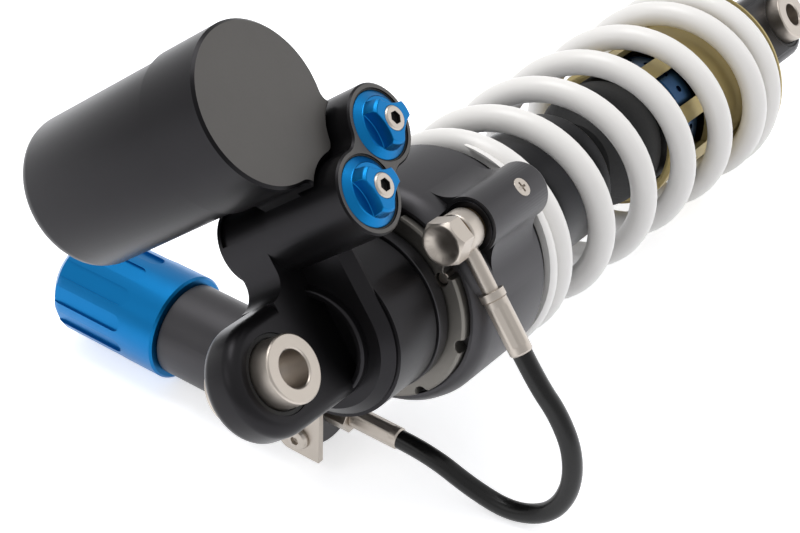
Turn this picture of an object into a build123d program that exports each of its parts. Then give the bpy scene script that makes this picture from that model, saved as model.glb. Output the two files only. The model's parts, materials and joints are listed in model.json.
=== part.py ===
from build123d import *

import os
from math import atan2, cos, degrees, hypot, pi, radians, sin, sqrt, tan

# Motorcycle shock absorber with a side reservoir and a remote hydraulic preload adjuster.
# Millimetres. Pieces are drawn with +X along the shock, from the upper eye to the lower eye,
# +Y along the upper bolt and +Z towards the reservoir. The pose at the end lays them down.

# Pose of the shock as it lies on its side, resting on the spring's last turn
roll_angle = 37.1
pitch_angle = 7.2

# Whole shock
eye_to_eye = 381.0
running_gap = 0.05
body_gap = 0.3

# Upper eye
bush_od = 22.0
upper_bore = 12.0
upper_bush_length = 29.0
eye_radius = 18.9
eye_thickness = 14.6
eye_edge_round = 4.4
bearing_wall = 1.9
seal_depth = 1.6
seal_inset = 0.4
seal_lip_gap = 0.35

# Head forging
block_radius = 26.7
block_front = 29.5
block_chamfer = 3.4
block_back = 34.5
block_top = 34.0
rim_front = 26.6
rim_radius = 18.6
rim_round = 1.0
pocket_radius = 16.4
pocket_floor = 32.0
skirt_wall = 3.2
skirt_end = 55.0
web_front = 19.7
web_round = 7.5
lift_near = -11.0

# Compression adjusters in their two barrels, (x, z) of each axis
high_speed_axis = (51.6, 51.6)
low_speed_axis = (32.9, 36.0)
barrel_radius = 13.7
barrel_face = -43.8
barrel_back = 10.0
barrel_waist_round = 6.0
moat_width = 1.4
moat_depth = 8.0
knob_flange_radius = 11.3
knob_flange_edge = 0.8
knob_grip_radius = 8.2
knob_grip_waist = 4.9
knob_height = 6.0
knob_lobes = 3
first_lobe = 7.5
knob_scallop_radius = 14.0
knob_stem_radius = 5.0
knob_stem_length = 14.0
knob_seal_width = 0.6
knob_screw_radius = 2.0
knob_screw_head = 4.1
knob_screw_length = 11.0
knob_socket_width = 3.8
knob_socket_depth = 1.5

# Reservoir
reservoir_axis = (16.8, 73.9)
cap_radius = 26.5
cap_face = -36.3
cap_seam = -12.5
neck_width = 31.0
neck_round = 4.0
reservoir_radius = 25.4
reservoir_bore = 22.5
reservoir_end = 50.0
reservoir_end_round = 5.0
end_cap_thickness = 6.0
end_cap_depth = 2.0
valve_radius = 4.0
valve_length = 9.0
valve_cap_radius = 5.2
valve_cap_length = 8.0
floating_piston_length = 14.0
floating_piston_rest = 16.0
oil_bore = 19.0

# Damper tube and the parts in it
tube_bore = 20.0
tube_wall = 4.8
tube_start = 38.0
tube_end = 180.0
shaft_radius = 7.0
piston_length = 14.0
piston_band_length = 6.0
piston_nut_length = 7.0
piston_nut_width = 17.0
top_out_length = 4.0
seal_head_length = 13.5
seal_head_inset = 3.5
wiper_length = 2.2

# Collars on the tube
collar_wall = 3.8
collar_end = 60.6
nut_height = 9.1
nut_start = 61.0
nut_end = 66.2
nut_notches = 8
nut_notch_radius = 2.6
pin_radius = 1.9
pin_angle = 182.3
pin_clearance = 0.5
pin_seat = 3.0

# Preload housing and its moving seat
housing_start = 64.0
housing_end = 104.6
housing_wall = 5.9
housing_nose_step = 2.7
housing_nose_length = 7.0
oil_gap = 8.4
housing_floor = 76.0
port_reach = 2.28
port_angle = 166.3
boss_radius = 9.7
boss_start = 72.5
boss_end = 107.0
boss_edge_round = 1.4
banjo_flat = -35.4
banjo_flat_low = -19.0
banjo_flat_high = 30.0
bleed_screw_place = 94.0
bleed_screw_radius = 3.3
bleed_screw_length = 9.0
seat_piston_start = 84.0
seat_piston_length = 12.0
seat_flange_step = 4.4
seat_flange_thickness = 2.5
seal_section = 2.0

# Spring
spring_start = 107.4
spring_end = 302.0
spring_mean_radius = 35.3
wire_diameter = 9.7
spring_turns = 7.65
spring_tip_angle = 130.3
dead_pitch = 9.8
dead_turns = 1.0
pitch_ramp_turns = 0.5

# Spring retainer, rebound wheel and lower eye
retainer_rim_radius = 38.8
retainer_rim_bevel = 2.0
retainer_rim_step = 2.8
retainer_rim_thickness = 3.0
retainer_radius = 27.6
retainer_wall = 2.4
retainer_front = 225.0
retainer_windows = 8
window_front = 231.0
window_back = 258.0
window_angle = 30.0
first_window = 167.5
wheel_radius = 23.2
wheel_front = 243.0
wheel_back = 257.0
wheel_dimples = 18
dimple_radius = 1.4
dimple_depth = 1.2
lock_nut_length = 8.0
lock_nut_radius = 11.0
bump_stop_end = 240.7
bump_stop_length = 44.0
bump_stop_radius = 23.4
bump_stop_tip = 15.5
bump_stop_taper = 12.0
bump_washer = 2.0
lower_body_front = 266.0
lower_hub_radius = 20.0
lower_shoulder_radius = 24.0
lower_shoulder_length = 9.0
lower_bush_length = 25.0
lower_bore = 10.0
lower_eye_radius = 16.4
lower_eye_thickness = 13.0

# Banjo, hose ends and hose
banjo_place = 67.0
banjo_radius = 7.1
banjo_width = 7.0
washer_thickness = 1.2
washer_radius = 6.4
bolt_radius = 5.0
bolt_head_width = 14.0
bolt_face_radius = 6.7
bolt_dish_radius = 6.0
bolt_head_height = 7.0
bolt_thread_length = 9.0
stem_radius = 2.7
stem_end = 23.6
ferrule_radius = 3.9
ferrule_length = 19.5
ferrule_collar_radius = 4.3
ferrule_collar_length = 2.6
hose_diameter = 6.8

# Remote adjuster, drawn along its own +X from the knob's rim to the hose end
adjuster_place = (68.5, 86.5)
adjuster_heading = -93.4
adjuster_knob_radius = 19.7
adjuster_knob_length = 51.6
adjuster_flutes = 12
flute_length = 33.0
flute_depth = 1.3
flute_width = 6.6
adjuster_radius = 17.2
adjuster_bore = 12.5
adjuster_length = 66.5
adjuster_neck_radius = 13.4
adjuster_neck_length = 34.0
adjuster_chamber = 14.0
spindle_bearing = 9.0
spindle_radius = 4.0
spindle_lead = 3.0
knob_turns = 8
drive_piston_start = 17.5
drive_piston_length = 8.0
drive_piston_floor = 1.5
drive_tail_radius = 7.0
drive_tail_length = 32.0
port_drop = 1.5
port_fitting_length = 9.4
port_fitting_width = 11.0
bracket_thickness = 2.5
bracket_start = 57.0
bracket_end = 74.5
bracket_low = -11.5
bracket_high = 13.0
bracket_screw_place = (66.0, -4.0)
bracket_flat_depth = 1.6
bracket_screw_radius = 2.5
bracket_screw_head = 4.3
bracket_screw_length = 9.0

# Sizes that follow from the tube's
tube_radius = tube_bore + tube_wall
skirt_radius = tube_radius + skirt_wall
collar_radius = tube_radius + collar_wall
nut_radius = tube_radius + nut_height
housing_bore = tube_radius + oil_gap
housing_radius = housing_bore + housing_wall
housing_nose_radius = housing_radius - housing_nose_step
seat_flange_radius = housing_bore + seat_flange_step
port_axis = (
    (housing_radius + port_reach) * cos(radians(port_angle)),
    (housing_radius + port_reach) * sin(radians(port_angle)),
)
pin_place = (
    (tube_radius + nut_height / 2) * cos(radians(pin_angle)),
    (tube_radius + nut_height / 2) * sin(radians(pin_angle)),
)
seal_head_end = tube_end - seal_head_inset
seal_head_start = seal_head_end - seal_head_length

# Oil pushed by the remote piston lifts the ring piston under the spring
drive_travel = knob_turns * spindle_lead
preload_travel = drive_travel * adjuster_bore ** 2 / (housing_bore ** 2 - tube_radius ** 2)

# The piston's place leaves the shaft room to follow the preload before the top-out ring touches
piston_front = seal_head_start - preload_travel - body_gap - top_out_length - piston_length

# The table's height under the upper eye, with the spring's last turn lying on it
rim_back = spring_end + retainer_rim_thickness
spring_trim = 0.3
last_part_turn = (spring_tip_angle + 360 * spring_turns + 90 - roll_angle) % 360 / 360
low_place = spring_end - spring_trim - dead_pitch * last_part_turn
low_radius = spring_mean_radius * cos(radians(pitch_angle)) + wire_diameter / 2
table_height = -low_place * sin(radians(pitch_angle)) - low_radius

# The remote adjuster leans a little, from the knob's rim to the end of its body
adjuster_tilt = degrees(atan2(adjuster_knob_radius - adjuster_radius, adjuster_length))
adjuster_height = table_height + adjuster_knob_radius * cos(radians(adjuster_tilt))

shock_pose = Rot(0, pitch_angle, 0) * Rot(-roll_angle, 0, 0)
adjuster_pose = Pos(*adjuster_place, adjuster_height) * Rot(0, 0, adjuster_heading) * Rot(0, adjuster_tilt, 0)

# The hose's route between its two ferrules, with the straight run that leaves each one
hose_first_run = 11.5
hose_last_run = 12.0
hose_points = [
    (65.7, -66.4, -29.0),
    (65.3, -72.6, -41.5),
    (64.8, -73.0, -56.8),
    (64.1, -66.2, -69.7),
    (63.3, -52.8, -75.0),
    (62.8, -38.0, -71.6),
]


def disc_x(radius, start, end, bore=0.0, centre=(0.0, 0.0)):
    """A cylinder or a tube along X. centre is (y, z)."""
    section = Circle(radius)
    if bore:
        section = section - Circle(bore)
    return extrude(Plane.YZ.offset(start) * Pos(*centre) * section, end - start)


def disc_y(radius, start, end, bore=0.0, centre=(0.0, 0.0)):
    """A cylinder or a tube along Y. centre is (x, z)."""
    section = Circle(radius)
    if bore:
        section = section - Circle(bore)
    return extrude(Plane.XZ.offset(-start) * Pos(*centre) * section, start - end)


def turned_x(profile):
    """A solid turned about the X axis from (x, radius) points."""
    return revolve(make_face(Polyline(*profile, close=True)), Axis.X)


def turned_y(profile, centre=(0.0, 0.0)):
    """A solid turned about a line along Y from (y, radius) points. centre is (x, z)."""
    points = [(radius, y) for y, radius in profile]
    solid = revolve(make_face(Polyline(*points, close=True)), Axis.Y)
    return Pos(centre[0], 0, centre[1]) * solid


def box(low, high):
    """A box between two corners."""
    size = [b - a for a, b in zip(low, high)]
    middle = [(a + b) / 2 for a, b in zip(low, high)]
    return Pos(*middle) * Box(*size)


def hexagon(width):
    """A hexagon by its width across flats."""
    return RegularPolygon(width / 2, 6, major_radius=False)


def seal_ring_x(outer, inner, middle, section=seal_section):
    """An O-ring's square envelope in its groove, along X."""
    return disc_x(outer, middle - section / 2, middle + section / 2, inner)


# Upper eye and head forging

def eye_plate(radius, thickness, edge_round, length):
    """The flat eye with full-round edges, running into the body along +X."""
    outline = Circle(radius) + Pos(length / 2, 0) * Rectangle(length, 2 * radius)
    plate = extrude(Plane.XZ.offset(-thickness / 2) * outline, thickness)
    rims = plate.edges().filter_by(lambda e: abs(abs(e.center().Y) - thickness / 2) < 0.01)
    rims = rims.filter_by(lambda e: e.center().X < length - 0.01)
    return fillet(rims, edge_round)


def bearing_bore(half_thickness, bearing_radius):
    """The hole that holds a bearing race and its two seals."""
    return disc_y(bearing_radius, -half_thickness - 1, half_thickness + 1)


def barrel_outline(grow=0.0):
    """Two round barrels side by side with a smooth waist between them, in (x, z)."""
    (x1, z1), (x2, z2) = high_speed_axis, low_speed_axis
    half_gap = hypot(x1 - x2, z1 - z2) / 2
    reach = sqrt((barrel_radius + barrel_waist_round) ** 2 - half_gap ** 2) / (2 * half_gap)
    middle = Vector((x1 + x2) / 2, (z1 + z2) / 2)
    across = Vector(z2 - z1, x1 - x2) * reach
    round_places = [middle + across, middle - across]
    waist = make_face(Polyline((x1, z1), round_places[0], (x2, z2), round_places[1], close=True))
    for place in round_places:
        waist = waist - Pos(place.X, place.Y) * Circle(barrel_waist_round - grow)
    outline = Pos(x1, z1) * Circle(barrel_radius + grow) + Pos(x2, z2) * Circle(barrel_radius + grow)
    return outline + waist


def neck_outline():
    """The reservoir cap's disc with the neck that runs into the two barrels, in (x, z)."""
    (x1, z1), (x2, z2) = high_speed_axis, low_speed_axis
    xr, zr = reservoir_axis
    xm, zm = (x1 + x2) / 2, (z1 + z2) / 2
    length = hypot(xm - xr, zm - zr)
    angle = degrees(atan2(zm - zr, xm - xr))
    arm = Pos((xr + xm) / 2, (zr + zm) / 2) * Rot(0, 0, angle) * Rectangle(length, neck_width)
    outline = Pos(xr, zr) * Circle(cap_radius) + arm
    on_disc = [v for v in outline.vertices() if abs(hypot(v.X - xr, v.Y - zr) - cap_radius) < 0.01]
    return fillet([v for v in on_disc if hypot(v.X - xm, v.Y - zm) < length], neck_round)


def eye_web():
    """The rib over the eye's tongue, which a round of its own carries up to the low barrel."""
    half = eye_thickness / 2
    foot = web_front - web_round
    round_place = (foot, eye_radius + web_round)
    rib = box((foot, -half, 0), (block_back, half, low_speed_axis[1]))
    rib = rib - disc_y(web_round, -half - 1, half + 1, centre=round_place)
    return rib - box((foot - 1, -half - 1, round_place[1]), (web_front, half + 1, low_speed_axis[1] + 1))


def front_pockets():
    """The two D-shaped pockets beside the tongue."""
    half = eye_thickness / 2
    pocket = disc_x(pocket_radius, rim_front - 1, pocket_floor)
    return pocket - box((0, -half, -block_radius), (pocket_floor + 1, half, block_radius))


def head_body():
    """Eye, U-shaped block, skirt, adjuster barrels and reservoir cap, in one forging."""
    eye = eye_plate(eye_radius, eye_thickness, eye_edge_round, block_back)
    block_section = Circle(block_radius) + Pos(0, block_top / 2) * Rectangle(2 * block_radius, block_top)
    block = extrude(Plane.YZ.offset(block_front) * block_section, block_back - block_front)
    block = chamfer(block.faces().sort_by(Axis.X)[0].edges(), block_chamfer)
    rim = disc_x(rim_radius, rim_front, block_back)
    rim = fillet(rim.faces().sort_by(Axis.X)[0].edges(), rim_round)
    skirt = disc_x(skirt_radius, block_back - 1, skirt_end)
    skirt = chamfer(skirt.faces().sort_by(Axis.X)[-1].edges(), 0.8)
    lift_front = block_front + block_chamfer
    lift = box((lift_front, lift_near, 0), (skirt_end - 4, barrel_back, high_speed_axis[1]))
    barrels = extrude(Plane.XZ.offset(-barrel_face) * barrel_outline(), barrel_face - barrel_back)
    barrels = chamfer(barrels.faces().sort_by(Axis.Y)[0].edges(), 0.6)
    cap = extrude(Plane.XZ.offset(-cap_face) * neck_outline(), cap_face - cap_seam)
    moat = extrude(Plane.XZ.offset(-cap_face + 1) * barrel_outline(moat_width), -moat_depth - 1)
    cap = cap - moat
    cap = chamfer(cap.faces().sort_by(Axis.Y)[0].edges(), 0.9)
    front = eye + block + rim + eye_web() - (front_pockets() - eye_web())
    head = front + skirt + lift + barrels + cap
    head = head - disc_x(tube_radius, tube_start, skirt_end + 1)
    head = head - disc_y(oil_bore, cap_face + 6, cap_seam + 1, centre=reservoir_axis)
    head = head - disc_y(reservoir_radius + 0.6, cap_seam, barrel_back + 1, centre=reservoir_axis)
    for axis in (high_speed_axis, low_speed_axis):
        head = head - disc_y(knob_flange_radius + knob_seal_width, barrel_face - 1, barrel_face + 1.4, centre=axis)
        head = head - disc_y(knob_stem_radius + running_gap, barrel_face, barrel_face + 22, centre=axis)
    head = head - bearing_bore(eye_thickness / 2, bush_od / 2 + bearing_wall)
    return head


def sleeve_bearing(half_width, place):
    """A plain race between an eye and its steel bush."""
    return disc_y(bush_od / 2 + bearing_wall, -half_width, half_width, bush_od / 2 + running_gap, (place, 0))


def eye_seals(half_thickness, place):
    """The two dust seals beside the race."""
    rings = []
    for side in (-1, 1):
        low, high = sorted((side * (half_thickness - seal_inset), side * (half_thickness - seal_depth)))
        rings.append(disc_y(bush_od / 2 + bearing_wall, low, high, bush_od / 2 + seal_lip_gap, (place, 0)))
    return rings


def bush(length, bore, place):
    """The steel bush that the mounting bolt clamps."""
    half = length / 2
    outer, inner, edge = bush_od / 2, bore / 2, 0.5
    profile = [
        (-half, inner + edge), (-half, outer - edge), (-half + edge, outer), (half - edge, outer),
        (half, outer - edge), (half, inner + edge), (half - edge, inner), (-half + edge, inner),
    ]
    return turned_y(profile, (place, 0))


# Compression adjusters

def compression_knob(axis):
    """A conical flange with a three-lobed grip and a stem."""
    face = barrel_face
    profile = [
        (face + 1.4, 0), (face + 1.4, knob_flange_radius), (face + 1.4 - knob_flange_edge, knob_flange_radius),
        (face - 1.2, knob_grip_radius + 0.6), (face - knob_height + 0.8, knob_grip_radius),
        (face - knob_height, knob_grip_radius - 0.8), (face - knob_height, 0),
    ]
    knob = turned_y(profile, axis)
    reach = knob_grip_waist + knob_scallop_radius
    for index in range(knob_lobes):
        angle = radians(first_lobe + 360 / knob_lobes * (index + 0.5))
        centre = (axis[0] + reach * cos(angle), axis[1] + reach * sin(angle))
        knob = knob - disc_y(knob_scallop_radius, face - knob_height - 1, face - 1.4, centre=centre)
    knob = knob + disc_y(knob_stem_radius, face + 1.4, face + 1.4 + knob_stem_length, centre=axis)
    hole = disc_y(knob_screw_radius, face - knob_height - 1, face + knob_screw_length - 1, centre=axis)
    recess = disc_y(knob_screw_head, face - knob_height - 1, face - knob_height + 1.2, centre=axis)
    return knob - hole - recess


def knob_screw(axis):
    """The stainless screw in the middle of a knob, with a hexagon socket."""
    top = barrel_face - knob_height - 0.5
    seat = barrel_face - knob_height + 1.2
    head = turned_y([(seat, 0), (seat, knob_screw_head), (top + 0.5, knob_screw_head),
                     (top, knob_screw_head - 0.5), (top, 0)], axis)
    shank = disc_y(knob_screw_radius, seat, barrel_face + knob_screw_length - 1, centre=axis)
    socket = extrude(Plane.XZ.offset(-top) * Pos(*axis) * hexagon(knob_socket_width), -knob_socket_depth)
    return head + shank - socket


def knob_seal(axis):
    """The black ring round a knob's flange."""
    outer = knob_flange_radius + knob_seal_width
    return disc_y(outer, barrel_face + 0.5, barrel_face + 1.4, knob_flange_radius + running_gap, axis)


# Reservoir

def reservoir_tube():
    """The gas and oil cylinder screwed into the cap."""
    start, end = cap_seam, reservoir_end
    inner = reservoir_bore
    lip = end - end_cap_depth
    line = [(start, inner), (start, reservoir_radius - 0.4), (start + 0.4, reservoir_radius)]
    line += [(end - reservoir_end_round * (1 - sin(t)), reservoir_radius - reservoir_end_round * (1 - cos(t)))
             for t in (0, radians(22.5), radians(45), radians(67.5))]
    line += [(end, reservoir_radius - reservoir_end_round), (end, inner - 2.5), (lip, inner - 2.5), (lip, inner)]
    return turned_y(line, reservoir_axis)


def reservoir_end_cap():
    """The gas end's plug behind the tube's lip."""
    back = reservoir_end - end_cap_depth
    plug = disc_y(reservoir_bore, back - end_cap_thickness, back, centre=reservoir_axis)
    return plug - disc_y(valve_radius, back - end_cap_thickness - 1, back + 1, centre=reservoir_axis)


def gas_valve():
    """The filling valve in the plug."""
    back = reservoir_end - end_cap_depth
    stem = disc_y(valve_radius, back - end_cap_thickness, back, centre=reservoir_axis)
    return stem + disc_y(valve_radius - 1, back, back + valve_length - 2, centre=reservoir_axis)


def gas_valve_cap():
    """The plastic cap on the valve."""
    low = reservoir_end - end_cap_depth + 0.6
    high = low + valve_cap_length
    cap = turned_y([(low, 0), (low, valve_cap_radius), (high - 0.8, valve_cap_radius),
                    (high, valve_cap_radius - 0.8), (high, 0)], reservoir_axis)
    return cap - disc_y(valve_radius - 1, low - 1, low + valve_length - 2.6, centre=reservoir_axis)


def floating_piston():
    """The piston between oil and gas, dished on the gas side."""
    start = cap_seam + floating_piston_rest
    end = start + floating_piston_length
    outer = reservoir_bore - running_gap
    middle = (start + end) / 2
    groove = outer - seal_section
    half = seal_section / 2
    profile = [(start, 0), (start, outer), (middle - half, outer), (middle - half, groove),
               (middle + half, groove), (middle + half, outer), (end, outer), (end, outer - 4), (start + 5, outer - 6),
               (start + 5, 0)]
    return turned_y(profile, reservoir_axis)


def floating_seal():
    """The floating piston's ring."""
    middle = cap_seam + floating_piston_rest + floating_piston_length / 2
    outer = reservoir_bore - running_gap
    return disc_y(outer, middle - seal_section / 2, middle + seal_section / 2, outer - seal_section, reservoir_axis)


# Damper

def damper_tube():
    """The cylinder, closed by the head at one end."""
    wall = disc_x(tube_radius, tube_start, tube_end, tube_bore)
    return chamfer(wall.faces().sort_by(Axis.X)[-1].edges(), 0.6)


def band_place():
    """Where the sliding band starts and ends on the piston."""
    middle = piston_front + piston_length / 2
    return middle - piston_band_length / 2, middle + piston_band_length / 2


def main_piston():
    """The valve piston with its flow ports."""
    end = piston_front + piston_length
    piston = disc_x(tube_bore - running_gap, piston_front, end, shaft_radius - 1.5)
    for index in range(6):
        angle = radians(60 * index)
        port = (13 * cos(angle), 13 * sin(angle))
        piston = piston - disc_x(2.4, piston_front - 1, end + 1, centre=port)
    low, high = band_place()
    groove = disc_x(tube_bore, low, high, tube_bore - 1.2)
    return piston - groove


def piston_band():
    """The sliding band round the piston."""
    low, high = band_place()
    return disc_x(tube_bore - running_gap, low, high, tube_bore - 1.2)


def piston_nut():
    """The nut that holds the piston on the shaft."""
    start = piston_front - piston_nut_length
    nut = extrude(Plane.YZ.offset(start) * hexagon(piston_nut_width), piston_nut_length)
    return nut - disc_x(shaft_radius - 1.5, start - 1, piston_front + 1)


def shaft():
    """The polished shaft, reduced where it carries the piston."""
    piston_end = piston_front + piston_length
    spigot = shaft_radius - 1.5
    start = piston_front - piston_nut_length
    return turned_x([(start, 0), (start, spigot), (piston_end, spigot), (piston_end, shaft_radius),
                     (lower_body_front + 14, shaft_radius), (lower_body_front + 14, 0)])


def top_out_spacer():
    """The rubber ring that stops the shaft's outward travel."""
    start = piston_front + piston_length
    return disc_x(shaft_radius + 4, start, start + top_out_length, shaft_radius)


def seal_head():
    """The shaft guide in the tube's mouth."""
    guide = turned_x([(seal_head_start, shaft_radius + running_gap), (seal_head_start, tube_bore),
                      (seal_head_end, tube_bore), (seal_head_end, 15), (seal_head_end + 1.5, 13),
                      (seal_head_end + 1.5, 10.5), (seal_head_end + 0.2, 10.5),
                      (seal_head_end + 0.2, shaft_radius + running_gap)])
    return guide


def wiper_seal():
    """The dust lip round the shaft."""
    start = seal_head_end + 0.2
    return disc_x(10.5, start, start + wiper_length, shaft_radius + running_gap)


def circlip():
    """The wire ring that keeps the shaft guide in."""
    return disc_x(tube_bore, seal_head_end, seal_head_end + 1.2, tube_bore - 2.5)


# Collars and preload housing

def tube_collar():
    """The black threaded collar behind the head."""
    collar = disc_x(collar_radius, skirt_end + 0.2, collar_end, tube_radius)
    return chamfer(collar.faces().sort_by(Axis.X)[-1].edges(), 0.7)


def lock_ring():
    """The slotted steel ring nut."""
    ring = disc_x(nut_radius, nut_start, nut_end, tube_radius)
    ring = chamfer(ring.faces().sort_by(Axis.X)[0].edges().sort_by(SortBy.LENGTH)[-1], 0.7)
    for index in range(nut_notches):
        angle = radians(360 / nut_notches * index)
        centre = (nut_radius * cos(angle), nut_radius * sin(angle))
        ring = ring - disc_x(nut_notch_radius, nut_start - 1, nut_end + 1, centre=centre)
    return ring - disc_x(pin_radius + pin_clearance, nut_start - 1, nut_end + 1, centre=pin_place)


def stop_pin():
    """The small pin from the housing's face through the ring nut."""
    return disc_x(pin_radius, nut_start + 1.4, nut_end + pin_seat, centre=pin_place)


def preload_housing():
    """The hydraulic cylinder round the tube, with the hose port's boss on its side."""
    nose_end = housing_start + housing_nose_length
    recess_end = nut_end
    profile = [
        (recess_end, tube_radius), (recess_end, nut_radius + 0.6), (housing_start, nut_radius + 0.6),
        (housing_start, housing_nose_radius - 0.8), (housing_start + 0.8, housing_nose_radius),
        (housing_start + 0.6 * housing_nose_length, housing_radius - 0.7), (nose_end, housing_radius),
        (housing_end - 1.0, housing_radius), (housing_end, housing_radius - 1.0), (housing_end, housing_bore),
        (housing_floor, housing_bore), (housing_floor, tube_radius),
    ]
    shell = turned_x(profile)
    boss = disc_x(boss_radius, boss_start, boss_end, centre=port_axis)
    boss = fillet(boss.faces().sort_by(Axis.X)[-1].edges(), boss_edge_round)
    boss = boss - disc_x(housing_bore + 2.0, boss_start - 1, boss_end + 1)
    boss = boss - disc_x(seat_flange_radius + body_gap, housing_end, boss_end + 1)
    shell = shell - box(
        (housing_start - 1, -2 * housing_radius, banjo_flat_low), (boss_start, banjo_flat, banjo_flat_high))
    shell = shell - disc_x(boss_radius - 0.6, housing_start - 1, boss_start, centre=port_axis)
    shell = shell + boss - disc_x(pin_radius, nut_end, nut_end + pin_seat, centre=pin_place)
    shell = shell - disc_x(bolt_radius, boss_start - 1, boss_start + bolt_thread_length + 2, centre=port_axis)
    return shell - bleed_screw_hole()


def bleed_screw_axis():
    """The plane across the boss's outer side where the bleed screw sits."""
    angle = atan2(port_axis[1], port_axis[0])
    outward = Vector(0, cos(angle), sin(angle))
    reach = hypot(*port_axis) + boss_radius
    origin = Vector(bleed_screw_place, 0, 0) + outward * reach
    return Plane(origin=origin, x_dir=(1, 0, 0), z_dir=outward)


def bleed_screw_hole():
    plane = bleed_screw_axis().offset(-1.2)
    head = extrude(plane * Circle(bleed_screw_radius), 4)
    return head + extrude(plane * Circle(1.6), -bleed_screw_length + 3)


def bleed_screw():
    """The countersunk cross-head screw in the boss."""
    plane = bleed_screw_axis().offset(-1.2)
    head = extrude(plane * Circle(bleed_screw_radius - 0.02), 1.1)
    shank = extrude(plane * Circle(1.6), -bleed_screw_length + 3)
    cross = Rectangle(3.6, 0.8) + Rectangle(0.8, 3.6)
    return head + shank - extrude(plane.offset(0.3) * cross, 2)


def preload_seat():
    """The ring piston and the flange that the spring stands on."""
    piston_end = seat_piston_start + seat_piston_length
    flange_start = spring_start - seat_flange_thickness
    inner = tube_radius + running_gap
    outer = housing_bore - running_gap
    groove = outer - seal_section
    middle = seat_piston_start + seat_piston_length / 2
    half = seal_section / 2
    profile = [
        (seat_piston_start, inner), (seat_piston_start, outer), (middle - half, outer), (middle - half, groove),
        (middle + half, groove), (middle + half, outer), (piston_end, outer), (piston_end, outer - 2.5),
        (flange_start, outer - 2.5), (flange_start, seat_flange_radius), (spring_start - 0.6, seat_flange_radius),
        (spring_start, seat_flange_radius - 0.6), (spring_start, inner),
    ]
    return turned_x(profile)


def preload_seal():
    """The ring piston's outer seal."""
    middle = seat_piston_start + seat_piston_length / 2
    outer = housing_bore - running_gap
    return seal_ring_x(outer, outer - seal_section, middle)


# Spring

def smooth_step(value):
    value = min(max(value, 0.0), 1.0)
    return value * value * (3 - 2 * value)


def ramp_area(value):
    """The area under the smooth step from 0 to value."""
    held = min(max(value, 0.0), 1.0)
    return held ** 3 - held ** 4 / 2 + max(value - 1.0, 0.0)


def spring_axis_point(turn, active_pitch):
    """A point of the wire's middle line, after so many turns from the upper tip."""
    rise_area = ramp_area((turn - dead_turns) / pitch_ramp_turns) * pitch_ramp_turns
    fall_start = spring_turns - dead_turns - pitch_ramp_turns
    fall_area = ramp_area((turn - fall_start) / pitch_ramp_turns) * pitch_ramp_turns
    x = spring_start + spring_trim + dead_pitch * turn + (active_pitch - dead_pitch) * (rise_area - fall_area)
    angle = radians(spring_tip_angle + 360 * turn)
    return (x, spring_mean_radius * cos(angle), spring_mean_radius * sin(angle))


def spring():
    """The coil spring, closed and ground flat at both ends."""
    active_turns = spring_turns - 2 * dead_turns - pitch_ramp_turns
    length = spring_end - spring_start - 2 * spring_trim
    active_pitch = dead_pitch + (length - dead_pitch * spring_turns) / active_turns
    steps = round(spring_turns * 12)
    points = [spring_axis_point(spring_turns * i / steps, active_pitch) for i in range(steps + 1)]
    path = Spline(*points)
    wire = sweep(Plane(origin=path @ 0, z_dir=path % 0) * Circle(wire_diameter / 2), path=path, is_frenet=True)
    reach = spring_mean_radius + wire_diameter
    ends = box((spring_start - 20, -reach, -reach), (spring_start, reach, reach))
    ends = ends + box((spring_end, -reach, -reach), (spring_end + 20, reach, reach))
    return wire - ends


# Spring retainer and lower end

def spring_retainer():
    """The gold bell inside the spring, with windows over the rebound wheel."""
    inner = retainer_radius - retainer_wall
    hub = lower_hub_radius
    profile = [
        (retainer_front, inner), (retainer_front, retainer_radius - 1.5), (retainer_front + 1.5, retainer_radius),
        (spring_end, retainer_radius), (spring_end, retainer_rim_radius),
        (rim_back - retainer_rim_bevel, retainer_rim_radius), (rim_back, retainer_rim_radius - retainer_rim_step),
        (rim_back, hub), (spring_end - 4, hub), (spring_end - 10, inner),
    ]
    bell = turned_x(profile)
    for index in range(retainer_windows):
        angle = first_window + 360 / retainer_windows * index
        half = 1.2 * retainer_radius * tan(radians(window_angle / 2))
        opening = Pos((window_front + window_back) / 2, 0, 0) * Rot(angle, 0, 0) * Pos(0, retainer_radius, 0) * Box(
            window_back - window_front, 12, 1.6 * half)
        bell = bell - opening
    return bell


def rebound_wheel():
    """The rebound adjuster's wheel with a row of finger dimples."""
    edge = 1.0
    bore = shaft_radius + running_gap
    wheel = turned_x([
        (wheel_front, bore), (wheel_front, wheel_radius - edge), (wheel_front + edge, wheel_radius),
        (wheel_back - edge, wheel_radius), (wheel_back, wheel_radius - edge), (wheel_back, bore),
    ])
    middle = (wheel_front + wheel_back) / 2
    for index in range(wheel_dimples):
        pick = Pos(middle, 0, 0) * Rot(360 / wheel_dimples * index, 0, 0) * Pos(0, 0, wheel_radius)
        wheel = wheel - pick * Cylinder(dimple_radius, 2 * dimple_depth)
    return wheel


def bump_stop():
    """The foam stop on the shaft, tapered towards the tube, with one waist near its plate."""
    start = bump_stop_end - bump_stop_length
    bore = shaft_radius + body_gap
    waist = bump_stop_end - 0.3 * bump_stop_length
    return turned_x([
        (start, bore), (start, bump_stop_tip), (start + bump_stop_taper, bump_stop_radius - 1),
        (start + 1.3 * bump_stop_taper, bump_stop_radius), (waist - 4, bump_stop_radius),
        (waist, bump_stop_radius - 2), (waist + 4, bump_stop_radius), (bump_stop_end, bump_stop_radius),
        (bump_stop_end, bore),
    ])


def bump_plate():
    """The plastic washer behind the bump stop."""
    return disc_x(bump_stop_radius, bump_stop_end, bump_stop_end + bump_washer, shaft_radius)


def shaft_lock_nut():
    """The nut that locks the shaft in the lower eye."""
    end = lower_body_front
    nut = extrude(Plane.YZ.offset(end - lock_nut_length) * hexagon(2 * lock_nut_radius), lock_nut_length)
    return nut - disc_x(shaft_radius, end - lock_nut_length - 1, end + 1)


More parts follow.
